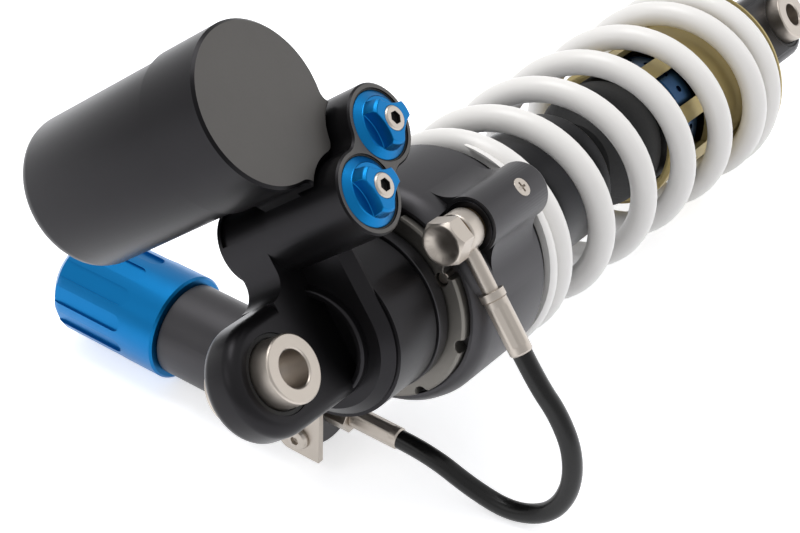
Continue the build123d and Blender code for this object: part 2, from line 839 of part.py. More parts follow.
def lower_eye():
    """The lower end piece: hub, shoulder for the retainer, and the flat eye."""
    shoulder_end = rim_back + lower_shoulder_length
    hub = turned_x([
        (lower_body_front, 0), (lower_body_front, 13), (lower_body_front + 2, 15), (spring_end - 8, 15),
        (spring_end - 4, lower_hub_radius), (rim_back, lower_hub_radius), (rim_back, lower_shoulder_radius),
        (shoulder_end, lower_shoulder_radius - 1), (shoulder_end + 14, 12), (shoulder_end + 22, 11),
        (shoulder_end + 22, 0),
    ])
    length = eye_to_eye - shoulder_end + 1
    blade = eye_plate(lower_eye_radius, lower_eye_thickness, 4.0, length)
    blade = Pos(eye_to_eye, 0, 0) * Rot(0, 180, 0) * blade
    eye = hub + blade
    eye = eye - disc_x(shaft_radius, lower_body_front - 1, lower_body_front + 14)
    return eye - Pos(eye_to_eye, 0, 0) * bearing_bore(lower_eye_thickness / 2, bush_od / 2 + bearing_wall)


# Hose ends on the shock

def banjo_bolt():
    """The hollow bolt through the banjo, with a dished hexagon head."""
    outer_washer = banjo_place - banjo_width / 2 - washer_thickness
    top = outer_washer - bolt_head_height
    y, z = port_axis
    flat_inwards = Rot(0, 0, port_angle + 30)
    head = extrude(Plane.YZ.offset(top) * Pos(y, z) * flat_inwards * hexagon(bolt_head_width), bolt_head_height)
    cone = Pos(0, y, z) * turned_x([
        (top, 0), (top, bolt_face_radius), (top + 1.6, bolt_head_width / 2 + 1), (outer_washer, bolt_head_width / 2 + 1),
        (outer_washer, 0),
    ])
    head = head & cone
    dish = Pos(0, y, z) * turned_x([
        (top - 1, 0), (top - 1, bolt_dish_radius), (top, bolt_dish_radius), (top + 1.1, 0.6 * bolt_dish_radius),
        (top + 1.5, 0),
    ])
    shank = disc_x(bolt_radius, outer_washer, boss_start + bolt_thread_length, centre=port_axis)
    return head - dish + shank


def banjo_fitting():
    """The ring round the bolt with its stem towards the hose."""
    low, high = banjo_place - banjo_width / 2, banjo_place + banjo_width / 2
    ring = disc_x(banjo_radius, low, high, centre=port_axis)
    ring = fillet(ring.edges().filter_by(GeomType.CIRCLE), 1.0)
    y, z = port_axis
    stem = extrude(Plane.XY.offset(z - stem_end) * Pos(banjo_place, y) * Circle(stem_radius), stem_end)
    collar = extrude(Plane.XY.offset(z - stem_end) * Pos(banjo_place, y) * Circle(ferrule_collar_radius),
                     ferrule_collar_length)
    return ring + stem + collar - disc_x(bolt_radius, low - 1, high + 1, centre=port_axis)


def sealing_washers():
    """The copper rings on both sides of the banjo."""
    low = banjo_place - banjo_width / 2
    high = banjo_place + banjo_width / 2
    return [
        disc_x(washer_radius, low - washer_thickness, low, bolt_radius, port_axis),
        disc_x(washer_radius, high, high + washer_thickness, bolt_radius, port_axis),
    ]


def port_spacer():
    """The seat between the inner washer and the boss."""
    start = banjo_place + banjo_width / 2 + washer_thickness
    return disc_x(boss_radius - 1.2, start, boss_start, bolt_radius, port_axis)


def ferrule():
    """A crimped hose end, drawn along +X from its collar, with flats pressed into it."""
    body = turned_x([(0, 0), (0, ferrule_radius - 0.3), (0.4, ferrule_radius), (ferrule_length - 0.6, ferrule_radius),
                     (ferrule_length, ferrule_radius - 0.5), (ferrule_length, 0)])
    flats = extrude(Plane.YZ.offset(2.5) * (Circle(ferrule_radius + 1) - RegularPolygon(
        ferrule_radius - 0.12, 8, major_radius=False)), ferrule_length - 5.5)
    return body - flats


def upper_ferrule_place():
    """The upper hose end's place on the shock, along -Z from the stem's collar."""
    y, z = port_axis
    return Pos(banjo_place, y, z - stem_end) * Rot(0, 90, 0)


def lower_ferrule_place():
    """The lower hose end's place on the remote adjuster."""
    return Pos(adjuster_length + port_fitting_length, 0, -port_drop)


# Remote adjuster

def adjuster_knob():
    """The long fluted hand knob."""
    length, radius = adjuster_knob_length, adjuster_knob_radius
    inner = adjuster_neck_radius + body_gap
    depth = -adjuster_neck_length
    knob = turned_x([
        (-length, 0), (-length, radius - 5.5), (-length + 4.5, radius - 0.6), (-length + 7, radius), (-0.8, radius),
        (0, radius - 0.8), (0, inner), (depth, inner), (depth, 0),
    ])
    flute = Pos(-length + flute_length / 2 - 2, 0, radius) * Box(flute_length + 4, flute_width, 2 * flute_depth)
    runout = Pos(-length + flute_length, 0, radius) * Cylinder(flute_width / 2, 2 * flute_depth)
    for index in range(adjuster_flutes):
        knob = knob - Rot(360 / adjuster_flutes * index + 15, 0, 0) * (flute + runout)
    return knob


def adjuster_body():
    """The remote cylinder: a neck inside the knob and a barrel behind it."""
    front = -adjuster_neck_length + 2 * body_gap
    end = adjuster_length
    chamber_end = drive_piston_start + drive_piston_length + drive_travel + body_gap
    tail_bore = drive_tail_radius + running_gap
    spindle_bore = spindle_radius + running_gap
    barrel = turned_x([
        (front, spindle_bore), (front, adjuster_neck_radius), (body_gap, adjuster_neck_radius),
        (body_gap, adjuster_radius - 0.6), (body_gap + 0.6, adjuster_radius), (end - 1.6, adjuster_radius),
        (end, adjuster_radius - 1.6), (end, 0), (chamber_end, 0), (chamber_end, adjuster_bore),
        (adjuster_chamber, adjuster_bore), (adjuster_chamber, tail_bore), (front + spindle_bearing, tail_bore),
        (front + spindle_bearing, spindle_bore),
    ])
    y = -adjuster_radius + bracket_flat_depth
    flat = box((bracket_start, -2 * adjuster_radius, bracket_low), (bracket_end, y, bracket_high))
    x, z = bracket_screw_place
    hole = disc_y(bracket_screw_radius, y, y + bracket_screw_length, centre=(x, z))
    return barrel - flat - hole


def adjuster_spindle():
    """The screw that the knob turns, inside the piston's tail."""
    end = drive_piston_start + drive_piston_length - drive_piston_floor - body_gap
    return disc_x(spindle_radius, -adjuster_neck_length, end)


def drive_piston():
    """The remote cylinder's piston with its threaded tail."""
    start = drive_piston_start
    end = start + drive_piston_length
    outer = adjuster_bore - running_gap
    half = seal_section / 2
    middle = (start + end) / 2
    bore = spindle_radius + running_gap
    return turned_x([
        (start - drive_tail_length, bore), (start - drive_tail_length, drive_tail_radius), (start, drive_tail_radius),
        (start, outer), (middle - half, outer), (middle - half, outer - seal_section),
        (middle + half, outer - seal_section), (middle + half, outer), (end, outer), (end, 0),
        (end - drive_piston_floor, 0), (end - drive_piston_floor, bore),
    ])


def drive_seal():
    """The drive piston's ring."""
    middle = drive_piston_start + drive_piston_length / 2
    outer = adjuster_bore - running_gap
    return seal_ring_x(outer, outer - seal_section, middle)


def port_fitting():
    """The hexagon union between the remote cylinder and the hose end."""
    start = adjuster_length
    nut = extrude(Plane.YZ.offset(start) * Pos(0, -port_drop) * hexagon(port_fitting_width), port_fitting_length)
    return nut


def bracket():
    """The stainless mounting plate screwed to the flat on the cylinder's side."""
    y = -adjuster_radius + bracket_flat_depth
    plate = box((bracket_start, y - bracket_thickness, bracket_low), (bracket_end, y, bracket_high))
    corner = plate.edges().filter_by(Axis.Y).sort_by(Axis.X)[:2]
    plate = fillet(corner, 4.5)
    return plate - disc_y(bracket_screw_radius, y - bracket_thickness - 1, y + 1, centre=bracket_screw_place)


def bracket_screw():
    """The button-head screw with a hexagon socket."""
    y = -adjuster_radius + bracket_flat_depth - bracket_thickness
    height = 2.7
    x, z = bracket_screw_place
    head = turned_y([(y, 0), (y, bracket_screw_head), (y - 0.9, bracket_screw_head), (y - 2.0, 3.6), (y - height, 2.0),
                     (y - height, 0)], (x, z))
    shank = disc_y(bracket_screw_radius, y, y + bracket_screw_length, centre=(x, z))
    socket = extrude(Plane.XZ.offset(-(y - height)) * Pos(x, z) * hexagon(3.0), -1.6)
    return head + shank - socket


# Hose

def hose_route():
    """The hose's middle line, square to the ferrule at both ends."""
    upper = shock_pose * upper_ferrule_place()
    lower = adjuster_pose * lower_ferrule_place()
    start = (upper * Pos(ferrule_length, 0, 0)).position
    first = (upper * Pos(ferrule_length + hose_first_run, 0, 0)).position
    last = (lower * Pos(ferrule_length + hose_last_run, 0, 0)).position
    end = (lower * Pos(ferrule_length, 0, 0)).position
    return [tuple(start), tuple(first)] + hose_points + [tuple(last), tuple(end)]


def corner_radii(points):
    """0.45 of the shorter run beside each corner, over the tangent of half its turn."""
    radii = []
    for before, corner, after in zip(points, points[1:], points[2:]):
        run_in = Vector(*corner) - Vector(*before)
        run_out = Vector(*after) - Vector(*corner)
        turn = radians(run_in.get_angle(run_out))
        radii.append(0.45 * min(run_in.length, run_out.length) / tan(turn / 2))
    return radii


def hose():
    points = hose_route()
    radii = corner_radii(points)
    print("hose", [tuple(round(value, 1) for value in point) for point in points])
    print("hose radii", [round(radius, 1) for radius in radii])
    path = FilletPolyline(*points, radius=radii)
    tube = sweep(Plane(origin=path @ 0, z_dir=path % 0) * Circle(hose_diameter / 2), path=path)
    section = pi * hose_diameter ** 2 / 4
    print("hose length", round(path.length, 1), "volume ratio", round(tube.volume / (section * path.length), 4))
    return tube


shock_pieces = {
    "head_body": head_body,
    "upper_bearing": lambda: sleeve_bearing(eye_thickness / 2 - seal_depth, 0),
    "upper_seals": lambda: eye_seals(eye_thickness / 2, 0),
    "upper_bush": lambda: bush(upper_bush_length, upper_bore, 0),
    "high_speed_knob": lambda: compression_knob(high_speed_axis),
    "high_speed_screw": lambda: knob_screw(high_speed_axis),
    "low_speed_knob": lambda: compression_knob(low_speed_axis),
    "low_speed_screw": lambda: knob_screw(low_speed_axis),
    "knob_seals": lambda: [knob_seal(high_speed_axis), knob_seal(low_speed_axis)],
    "reservoir_tube": reservoir_tube,
    "reservoir_end_cap": reservoir_end_cap,
    "gas_valve": gas_valve,
    "gas_valve_cap": gas_valve_cap,
    "floating_piston": floating_piston,
    "floating_piston_seal": floating_seal,
    "damper_tube": damper_tube,
    "main_piston": main_piston,
    "piston_band": piston_band,
    "piston_nut": piston_nut,
    "shaft": shaft,
    "top_out_spacer": top_out_spacer,
    "seal_head": seal_head,
    "wiper_seal": wiper_seal,
    "circlip": circlip,
    "tube_collar": tube_collar,
    "lock_ring": lock_ring,
    "stop_pin": stop_pin,
    "preload_housing": preload_housing,
    "bleed_screw": bleed_screw,
    "preload_seat": preload_seat,
    "preload_seal": preload_seal,
    "spring": spring,
    "spring_retainer": spring_retainer,
    "rebound_wheel": rebound_wheel,
    "bump_stop": bump_stop,
    "bump_plate": bump_plate,
    "shaft_lock_nut": shaft_lock_nut,
    "lower_eye": lower_eye,
    "lower_bearing": lambda: sleeve_bearing(lower_eye_thickness / 2 - seal_depth, eye_to_eye),
    "lower_seals": lambda: eye_seals(lower_eye_thickness / 2, eye_to_eye),
    "lower_bush": lambda: bush(lower_bush_length, lower_bore, eye_to_eye),
    "banjo_bolt": banjo_bolt,
    "banjo_fitting": banjo_fitting,
    "sealing_washers": sealing_washers,
    "port_spacer": port_spacer,
    "upper_ferrule": lambda: upper_ferrule_place() * ferrule(),
}

adjuster_pieces = {
    "adjuster_knob": adjuster_knob,
    "adjuster_body": adjuster_body,
    "adjuster_spindle": adjuster_spindle,
    "drive_piston": drive_piston,
    "drive_piston_seal": drive_seal,
    "port_fitting": port_fitting,
    "lower_ferrule": lambda: lower_ferrule_place() * ferrule(),
    "bracket": bracket,
    "bracket_screw": bracket_screw,
}


def save(name, pieces, pose):
    """Writes one node's solids in the lying pose."""
    solids = []
    for piece in pieces if isinstance(pieces, list) else [pieces]:
        solids += (pose * piece).solids()
    node = solids[0] if len(solids) == 1 else Compound(children=solids)
    export_step(node, f"parts/{name}.step")


os.makedirs("parts", exist_ok=True)
for name, build in shock_pieces.items():
    save(name, build(), shock_pose)
for name, build in adjuster_pieces.items():
    save(name, build(), adjuster_pose)
save("hose", hose(), Pos(0, 0, 0))
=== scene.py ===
import json
from math import atan2, cos, degrees, hypot, pi, radians, sin

import bmesh
import bpy
from mathutils import Matrix, Vector


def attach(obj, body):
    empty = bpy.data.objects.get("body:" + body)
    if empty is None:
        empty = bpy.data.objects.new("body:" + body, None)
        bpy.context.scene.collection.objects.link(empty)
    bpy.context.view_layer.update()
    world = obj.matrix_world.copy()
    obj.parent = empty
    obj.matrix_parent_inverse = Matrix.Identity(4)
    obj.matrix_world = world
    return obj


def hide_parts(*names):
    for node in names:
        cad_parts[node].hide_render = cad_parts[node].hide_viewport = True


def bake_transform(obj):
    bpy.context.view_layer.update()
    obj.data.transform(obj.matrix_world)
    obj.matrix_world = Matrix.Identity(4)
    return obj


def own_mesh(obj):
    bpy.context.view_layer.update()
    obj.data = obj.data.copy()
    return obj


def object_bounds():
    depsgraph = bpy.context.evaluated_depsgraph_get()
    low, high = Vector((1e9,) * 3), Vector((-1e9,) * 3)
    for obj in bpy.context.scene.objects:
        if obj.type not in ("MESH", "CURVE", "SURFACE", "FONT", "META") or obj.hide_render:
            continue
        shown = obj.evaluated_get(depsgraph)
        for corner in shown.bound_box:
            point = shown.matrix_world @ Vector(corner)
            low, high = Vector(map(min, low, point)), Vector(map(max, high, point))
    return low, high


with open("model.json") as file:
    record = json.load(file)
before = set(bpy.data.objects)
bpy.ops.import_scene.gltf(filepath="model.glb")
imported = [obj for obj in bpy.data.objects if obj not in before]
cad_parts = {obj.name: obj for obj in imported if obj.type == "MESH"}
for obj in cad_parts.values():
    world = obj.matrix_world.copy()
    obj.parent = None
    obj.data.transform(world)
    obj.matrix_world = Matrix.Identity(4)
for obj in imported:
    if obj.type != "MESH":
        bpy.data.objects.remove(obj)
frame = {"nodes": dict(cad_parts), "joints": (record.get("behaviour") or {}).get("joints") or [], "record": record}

bl_info = {
    "name": "Motorcycle shock absorber",
    "version": (1, 0, 0),
    "blender": (4, 5, 0),
    "location": "View3D > Sidebar > Shock",
    "description": "Dresses the packed shock absorber: finishes, spring, hose and stage",
    "category": "Object",
}

MM = 0.001
CAD_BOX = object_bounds()
JOINTS = {joint["name"]: joint for joint in frame["joints"]}


def joint_axis(name):
    """A joint's axis in the row frame."""
    return Vector(JOINTS[name]["axis"])


# The shock's own axes: X towards the lower eye, Y along the upper bolt, Z towards the reservoir
SHOCK_X = -joint_axis("stroke_slide").normalized()
SHOCK_Y = joint_axis("floating_piston_slide").normalized()
SHOCK_Z = SHOCK_X.cross(SHOCK_Y)
SHOCK = Matrix((SHOCK_X, SHOCK_Y, SHOCK_Z)).transposed().to_4x4()
SHOCK_BACK = SHOCK.inverted()

TABLE = CAD_BOX[0].z

# Where the lit white wall stands, seen from the object, and how far its light fades into the room's
WALL_SIDE = (0.78, 0.40, 0.48)
WALL_FADE = 0.6

# How white the table looks to the camera and in mirrors, on top of the lamps' light
TABLE_GLOW = 0.58

# The camera that took the photograph, in metres, degrees and millimetres
CAMERA_PLACE = Vector((-0.37539, -0.29322, 0.37007))
CAMERA_TURN = (55.292, 0.109, -57.07)
CAMERA_LENS = 90.0
SENSOR_WIDTH = 36.0

# Two faces that meet at more than this many degrees have a hard edge between them, at the coil's ground tips too
EDGE_ANGLE = 28.0
TIP_ANGLE = 40.0

# The CAD meshes' points that lie closer than this, in metres, are merged, and faces flatter than this, in degrees, too
MERGE_DISTANCE = 0.002 * MM
FLAT_ANGLE = 0.6

# How far a normal points along the shock's Y: on faces that look out on the knobs' side, chamfers, and side walls
FACING_OUT = -0.99
CHAMFER_FACING = (-0.95, -0.3)
FACING_SIDEWAYS = 0.1

# The head's forms in the shock's own axes, in millimetres: the barrels' axes in X and Z, and places along Y
HIGH_SPEED_AXIS = (51.6, 51.6)
LOW_SPEED_AXIS = (32.9, 36.0)
NECK_FACE_Y = (-36.6, -36.0)
NECK_REACH = 22.0
NECK_ROUNDING = 2.4
EDGE_BAND_Y = (-44.0, -35.0)
TUBE_MOUTH_Y = -12.0
SOCKET_DEPTH = 0.1
SOCKET_RADIUS = 2.25

# The preload hose's route from the upper ferrule to the lower one, in millimetres
HOSE_ROUTE = (
    (66.2, -52.2, -10.7), (65.0, -59.1, -19.8), (65.7, -66.4, -29.0), (65.3, -72.6, -41.5),
    (64.8, -73.0, -56.8), (64.1, -66.2, -69.7), (63.3, -52.8, -75.0), (62.8, -38.0, -71.6),
    (62.1, -20.6, -63.3), (62.8, -8.6, -62.9),
)

# The coil's mesh: rings in a turn, points in a ring, and how far inside the seats the wire's middle starts and ends
RINGS_PER_TURN = 64
WIRE_SIDES = 32
TIP_INSET = 0.3 * MM


def linear(hex_colour):
    """An sRGB hex value as linear red, green, blue and alpha."""
    channels = [int(hex_colour[i:i + 2], 16) / 255 for i in (1, 3, 5)]
    return [c / 12.92 if c <= 0.04045 else ((c + 0.055) / 1.055) ** 2.4 for c in channels] + [1.0]


def add_node(tree, kind, inputs=None, **settings):
    """Adds a node, sets its values and links its inputs from other nodes' sockets."""
    node = tree.nodes.new(kind)
    for name, value in settings.items():
        setattr(node, name, value)
    for socket, value in (inputs or {}).items():
        if isinstance(value, bpy.types.NodeSocket):
            tree.links.new(value, node.inputs[socket])
        else:
            node.inputs[socket].default_value = value
    return node


def new_material(name):
    """A material with an empty node tree but for its output and shader."""
    material = bpy.data.materials.new(name)
    material.use_nodes = True
    tree = material.node_tree
    tree.nodes.clear()
    output = add_node(tree, "ShaderNodeOutputMaterial")
    shader = add_node(tree, "ShaderNodeBsdfPrincipled")
    tree.links.new(shader.outputs["BSDF"], output.inputs["Surface"])
    return material, tree, shader


def object_coordinates(tree, pose=None):
    """Object coordinates, turned into a piece's own axes where a pattern needs them."""
    place = add_node(tree, "ShaderNodeTexCoord").outputs["Object"]
    if pose is None:
        return place
    back = pose.inverted()
    mapping = add_node(tree, "ShaderNodeMapping", {"Vector": place})
    mapping.inputs["Location"].default_value = back.to_translation()
    mapping.inputs["Rotation"].default_value = back.to_euler("XYZ")
    return mapping.outputs["Vector"]


def turned_coordinates(tree, pose):
    """Distance along a piece's axis and out from it, so that a pattern runs round the piece as turning marks do."""
    along = add_node(tree, "ShaderNodeSeparateXYZ", {"Vector": object_coordinates(tree, pose)})
    across = add_node(tree, "ShaderNodeCombineXYZ", {"Y": along.outputs["Y"], "Z": along.outputs["Z"]})
    radius = add_node(tree, "ShaderNodeVectorMath", {0: across.outputs["Vector"]}, operation="LENGTH")
    place = add_node(tree, "ShaderNodeCombineXYZ", {"X": along.outputs["X"], "Y": radius.outputs["Value"]})
    return place.outputs["Vector"]


def grain(tree, place, size, detail=3.0):
    """Noise whose grains measure size millimetres."""
    return add_node(tree, "ShaderNodeTexNoise",
                    {"Vector": place, "Scale": 1 / (size * MM), "Detail": detail, "Roughness": 0.6})


def ramp(tree, source, low, high):
    """Maps 0 to 1 onto low to high."""
    node = add_node(tree, "ShaderNodeMapRange", {"Value": source, "To Min": low, "To Max": high})
    return node.outputs["Result"]


def metal(name, colour, roughness, spread=0.06, grain_size=0.35, bump=0.04, metallic=1.0, mottle=0.05,
          lathe=None, lathe_pitch=0.5):
    """A finish with grains in its roughness and relief, faint mottling, and turning marks where it was turned."""
    material, tree, shader = new_material(name)
    base = linear(colour)
    place = object_coordinates(tree)
    fine = grain(tree, place, grain_size)
    cloud = grain(tree, place, 14.0, detail=2.0)
    darker = [c * (1 - mottle) for c in base[:3]] + [1.0]
    lighter = [min(1.0, c * (1 + mottle)) for c in base[:3]] + [1.0]
    mix = add_node(tree, "ShaderNodeMix", {"Factor": cloud.outputs["Fac"]}, data_type="RGBA")
    mix.inputs["A"].default_value = darker
    mix.inputs["B"].default_value = lighter
    tree.links.new(mix.outputs["Result"], shader.inputs["Base Color"])
    shader.inputs["Metallic"].default_value = metallic
    rough = ramp(tree, fine.outputs["Fac"], roughness - spread, roughness + spread)
    tree.links.new(rough, shader.inputs["Roughness"])
    relief = add_node(tree, "ShaderNodeBump", {"Height": fine.outputs["Fac"], "Strength": bump, "Distance": 0.1 * MM})
    if lathe is not None:
        marks = grain(tree, turned_coordinates(tree, lathe), lathe_pitch, detail=2.0)
        relief = add_node(tree, "ShaderNodeBump", {"Height": marks.outputs["Fac"], "Strength": 0.1,
                                                   "Distance": 0.05 * MM, "Normal": relief.outputs["Normal"]})
    tree.links.new(relief.outputs["Normal"], shader.inputs["Normal"])
    return material


def anodised_black():
    """Aluminium bead-blasted, then anodised black: a soft, even sheen with a fine grain."""
    return metal("anodised_aluminium_black", "#252426", 0.34, bump=0.10, metallic=0.85)


def satin_black():
    """The housings, blasted finer and dyed less deep: a lighter, softer black."""
    return metal("satin_anodised_aluminium_black", "#424143", 0.4, bump=0.08, metallic=0.85)


def painted_shade_chamfer_black():
    """The chamfer round the end faces: a deeper copy of the black, painted shade on the sides that turn away from the
    light.
    """
    return metal("painted_shade_chamfer_aluminium_black", "#141315", 0.3, bump=0.02, metallic=0.8, mottle=0.02)


def painted_lit_face_black():
    """The forging's end faces that look out on the knobs' side: a greyer copy of the black, painted light from the lamp
    they face, with a coarser visible grain in its relief.
    """
    return metal("painted_lit_face_aluminium_black", "#5a5856", 0.5, grain_size=0.7, bump=0.16, metallic=0.75)


def painted_socket_shade():
    """The screws' sockets: a near black, painted shade for the depth of the recess."""
    return metal("painted_socket_shade_steel", "#1a1918", 0.5, metallic=0.6)


def anodised_grey():
    """The damper tube: hard anodised dark grey, ground smooth."""
    return metal("hard_anodised_grey", "#1f1f21", 0.3, bump=0.03, lathe=SHOCK, lathe_pitch=0.3)


def anodised_blue():
    """Aluminium dyed blue when anodised: a clear saturated metal."""
    return metal("anodised_aluminium_blue", "#026da9", 0.36, bump=0.03, metallic=0.85, mottle=0.03)


def anodised_dark_blue():
    """The rebound wheel, dyed a deep blue."""
    return metal("anodised_aluminium_dark_blue", "#1f3f60", 0.3, bump=0.02)


def anodised_gold():
    """The spring retainer, dyed a pale dull gold."""
    return metal("anodised_aluminium_gold", "#a89868", 0.44, bump=0.04, metallic=0.7, lathe=SHOCK, lathe_pitch=0.6)


def plain_aluminium():
    """Machined aluminium left bare: light, with turning marks."""
    return metal("machined_aluminium", "#77746f", 0.48, bump=0.08, lathe=SHOCK)


def stainless():
    """Turned stainless steel: light, with a faint grain."""
    return metal("turned_stainless_steel", "#b7afa6", 0.36, bump=0.05)


def hard_chrome():
    """The ground and chromed shaft: a mirror with hardly any grain."""
    return metal("hard_chrome_plating", "#d5d6d8", 0.08, spread=0.02, bump=0.0, mottle=0.01)


def copper():
    """The soft sealing washers, gone dull."""
    return metal("tarnished_copper", "#7d6a50", 0.4)


def powder_coat():
    """White powder coat baked on the spring: glossy, with a low orange peel."""
    material, tree, shader = new_material("powder_coat_white")
    place = object_coordinates(tree)
    peel = grain(tree, place, 1.4, detail=1.0)
    cloud = grain(tree, place, 30.0, detail=1.0)
    mix = add_node(tree, "ShaderNodeMix", {"Factor": cloud.outputs["Fac"]}, data_type="RGBA")
    mix.inputs["A"].default_value = linear("#e2e0dd")
    mix.inputs["B"].default_value = linear("#e6e4e1")
    tree.links.new(mix.outputs["Result"], shader.inputs["Base Color"])
    tree.links.new(ramp(tree, peel.outputs["Fac"], 0.26, 0.36), shader.inputs["Roughness"])
    relief = add_node(tree, "ShaderNodeBump", {"Height": peel.outputs["Fac"], "Strength": 0.08, "Distance": 0.1 * MM})
    tree.links.new(relief.outputs["Normal"], shader.inputs["Normal"])
    return material


def soft(name, colour, roughness, grain_size=0.5, bump=0.15, mottle=0.15):
    """Rubber, foam or plastic: no metal, a grain and a slightly uneven colour."""
    return metal(name, colour, roughness, grain_size=grain_size, bump=bump, metallic=0.0, mottle=mottle)


def rubber():
    """Moulded nitrile rubber: black and dull."""
    return soft("nitrile_rubber", "#141414", 0.6)


def bump_foam():
    """Closed-cell polyurethane foam of the bump stop: matt with visible cells."""
    return soft("polyurethane_foam", "#0c0c0d", 0.75, grain_size=0.9, bump=0.4)


def black_plastic():
    """Moulded nylon."""
    return soft("moulded_nylon_black", "#19191a", 0.5, bump=0.08)


def hose_cover():
    """The hose's extruded cover: glossy black over a braid that shows faintly."""
    material, tree, shader = new_material("extruded_hose_cover")
    shader.inputs["Base Color"].default_value = linear("#060606")
    shader.inputs["Specular IOR Level"].default_value = 0.35
    place = add_node(tree, "ShaderNodeTexCoord").outputs["UV"]
    weave = add_node(tree, "ShaderNodeMapping", {"Vector": place})
    weave.inputs["Scale"].default_value = (90.0, 14.0, 1.0)
    weave.inputs["Rotation"].default_value = (0.0, 0.0, radians(45))
    braid = add_node(tree, "ShaderNodeTexChecker", {"Vector": weave.outputs["Vector"], "Scale": 1.0})
    fine = grain(tree, object_coordinates(tree), 0.4)
    tree.links.new(ramp(tree, fine.outputs["Fac"], 0.24, 0.34), shader.inputs["Roughness"])
    relief = add_node(tree, "ShaderNodeBump", {"Height": braid.outputs["Fac"], "Strength": 0.06, "Distance": 0.1 * MM})
    tree.links.new(relief.outputs["Normal"], shader.inputs["Normal"])
    return material


MATERIALS = {}


def finish_of(maker):
    """The one material that a maker function gives, made once."""
    if maker.__name__ not in MATERIALS:
        MATERIALS[maker.__name__] = maker()
    return MATERIALS[maker.__name__]


def new_piece(name, mesh, maker, body):
    """Adds a mesh as a piece that rides on a body."""
    piece = bpy.data.objects.new(name, mesh)
    bpy.context.scene.collection.objects.link(piece)
    piece.data.materials.clear()
    piece.data.materials.append(finish_of(maker))
    if body:
        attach(piece, body)
    return piece


def node_body(node):
    """The body that a CAD node rides on."""
    bodies = frame["record"]["behaviour"]["bodies"]
    return next(body for body, nodes in bodies.items() if node in nodes)


def soften(piece, width, angle):
    """Rounds a piece's hard edges a little, as deburring does."""
    if width:
        bevel = piece.modifiers.new("Edges", "BEVEL")
        bevel.width = width * MM
        bevel.segments = 2
        bevel.limit_method = "ANGLE"
        bevel.angle_limit = radians(angle)
        bevel.harden_normals = False
        bevel.use_clamp_overlap = True
    return piece


def combine(piece, forms, operation):
    """Cuts bmesh solids out of a piece or joins them to it. They are drawn in the shock's own axes."""
    for form in forms:
        mesh = bpy.data.meshes.new("cutter")
        bmesh.ops.recalc_face_normals(form, faces=form.faces)
        form.to_mesh(mesh)
        form.free()
        mesh.transform(SHOCK)
        cutter = bpy.data.objects.new("cutter", mesh)
        bpy.context.scene.collection.objects.link(cutter)
        change = piece.modifiers.new("Carve", "BOOLEAN")
        change.operation = operation
        change.solver = "EXACT"
        change.object = cutter
        view = bpy.context.evaluated_depsgraph_get()
        carved = bpy.data.meshes.new_from_object(piece.evaluated_get(view))
        piece.modifiers.remove(change)
        piece.data = carved
        bpy.data.objects.remove(cutter)


def prism(outline, place, length, side):
    """A bmesh prism: an outline in millimetres, drawn across axis x or y, and extruded along it."""
    form = bmesh.new()
    at = {"x": lambda a, b: (place, a, b), "y": lambda a, b: (a, place, b)}[side]
    points = [form.verts.new([c * MM for c in at(a, b)]) for a, b in outline]
    base = form.faces.new(points)
    grown = bmesh.ops.extrude_face_region(form, geom=[base])["geom"]
    along = {"x": (length * MM, 0, 0), "y": (0, length * MM, 0)}[side]
    bmesh.ops.translate(form, verts=[v for v in grown if isinstance(v, bmesh.types.BMVert)], vec=along)
    return form


def arc(radius, centre, first, last, steps=16):
    """Points on an arc, in degrees and millimetres."""
    turns = [radians(first + (last - first) * i / steps) for i in range(steps + 1)]
    return [(centre[0] + radius * cos(t), centre[1] + radius * sin(t)) for t in turns]


def shade_by_edges(mesh, angle):
    """Shades faces smooth, and keeps an edge sharp where they meet at more than an angle, in degrees."""
    form = bmesh.new()
    form.from_mesh(mesh)
    for face in form.faces:
        face.smooth = True
    for line in form.edges:
        line.smooth = len(line.link_faces) != 2 or line.calc_face_angle(0.0) < radians(angle)
    form.to_mesh(mesh)
    form.free()


def round_neck_lip(head):
    """Rounds the neck's face down to the groove round the two barrels."""
    turn = SHOCK_BACK.to_3x3()
    form = bmesh.new()
    form.from_mesh(head.data)
    lip = []
    for line in form.edges:
        middle = SHOCK_BACK @ ((line.verts[0].co + line.verts[1].co) / 2) / MM
        ways = sorted((turn @ face.normal).y for face in line.link_faces)
        reach = min(hypot(middle.x - x, middle.z - z) for x, z in (HIGH_SPEED_AXIS, LOW_SPEED_AXIS))
        on_face = NECK_FACE_Y[0] < middle.y < NECK_FACE_Y[1] and reach < NECK_REACH
        if on_face and len(ways) == 2 and ways[0] < FACING_OUT and abs(ways[1]) < FACING_SIDEWAYS:
            lip.append(line)
    bmesh.ops.bevel(form, geom=lip, offset=NECK_ROUNDING * MM, segments=4, profile=0.5, affect="EDGES", material=-1,
                    clamp_overlap=True)
    form.to_mesh(head.data)
    form.free()
    shade_by_edges(head.data, EDGE_ANGLE)


def second_finish(piece, maker, test):
    """Gives the faces that pass a test a finish of their own. It gets each face's middle and normal in the shock's
    axes, the middle in millimetres."""
    piece.data.materials.append(finish_of(maker))
    turn = SHOCK_BACK.to_3x3()
    for face in piece.data.polygons:
        if test(SHOCK_BACK @ face.center / MM, turn @ face.normal):
            face.material_index = len(piece.data.materials) - 1


